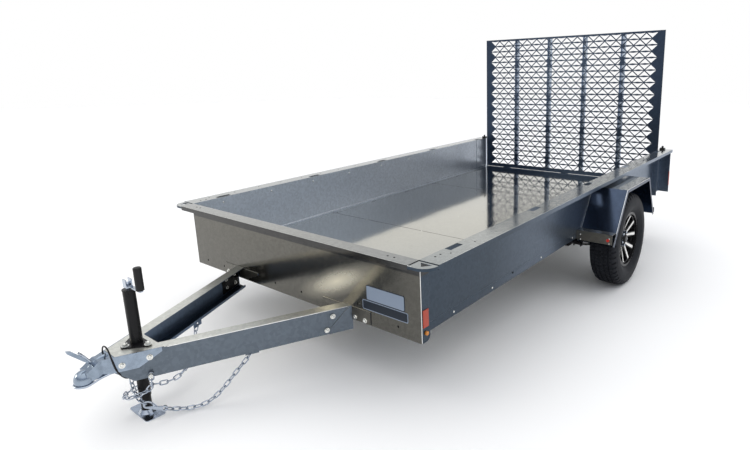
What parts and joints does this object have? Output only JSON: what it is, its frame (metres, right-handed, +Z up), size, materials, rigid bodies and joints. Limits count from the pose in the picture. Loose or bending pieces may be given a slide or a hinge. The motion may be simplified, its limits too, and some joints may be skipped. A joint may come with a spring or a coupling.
{
  "type": "utility trailer",
  "caption": "Single-axle open utility trailer with a folded steel body, an A-frame tongue, a screw jack, a ball coupler and a punched-mesh ramp gate.",
  "frame": {"origin": "middle of the overall box, on the floor the parked trailer stands on", "axes": "+X to the trailer's left, +Y to its rear (the coupler is at -Y), +Z up"},
  "size_m": [2.418, 4.8002, 1.9394],
  "materials": {
    "galvanised": "matt",
    "zinc": "satin",
    "hub_steel": "satin",
    "black_alloy": "gloss",
    "black": "satin",
    "tyre": "matt",
    "lamp_red": "gloss",
    "lamp_amber": "gloss"
  },
  "bodies": {
    "chassis": {"axle": "black", "corner_plates": "galvanised", "coupler": "zinc", "coupler_latch": "black", "crossmembers": "galvanised", "deck_front": "galvanised", "deck_middle": "galvanised", "deck_rear": "galvanised", "fender_braces": "galvanised", "fender_left": "galvanised", "fender_right": "galvanised", "front_beam": "galvanised", "front_wall": "galvanised", "gate_latches": "black", "hinge_knuckles": "galvanised", "jack_crank": "zinc", "jack_grip": "black", "jack_tube": "galvanised", "leaf_springs": "black", "marker_lamps": "lamp_amber", "nose_plate": "galvanised", "post_liners": "galvanised", "rear_post_left": "galvanised", "rear_post_right": "galvanised", "rear_sill": "galvanised", "reflectors": "lamp_red", "safety_chains": "zinc", "side_left": "galvanised", "side_right": "galvanised", "spring_clamps": "black", "spring_rails": "black", "tail_lamps": "lamp_red", "tongue_brackets": "galvanised", "tongue_left": "galvanised", "tongue_right": "galvanised"},
    "wheel_left": {"tyre_left": "tyre", "rim_left": "black_alloy", "hub_left": "hub_steel"},
    "wheel_right": {"tyre_right": "tyre", "rim_right": "black_alloy", "hub_right": "hub_steel"},
    "gate": {"gate_sheet": "galvanised", "gate_ribs": "galvanised", "gate_hinges": "galvanised"},
    "jack_leg": {"jack_leg": "galvanised", "jack_foot": "galvanised"}
  },
  "joints": [
    {"name": "wheel_left_spin", "type": "hinge", "parent": "chassis", "child": "wheel_left", "pos_m": [1.0985, 0.88535, 0.341], "axis": [1, 0, 0], "continuous": true},
    {"name": "wheel_right_spin", "type": "hinge", "parent": "chassis", "child": "wheel_right", "pos_m": [-1.0985, 0.88535, 0.341], "axis": [1, 0, 0], "continuous": true},
    {"name": "gate_swing", "type": "hinge", "parent": "chassis", "child": "gate", "pos_m": [0, 2.38914, 0.52627], "axis": [-1, 0, 0], "range_deg": [0, 114]},
    {"name": "jack_slide", "type": "slide", "parent": "chassis", "child": "jack_leg", "axis": [0, -0.04, 0.9992], "range_m": [-0.205, 0.06]}
  ]
}
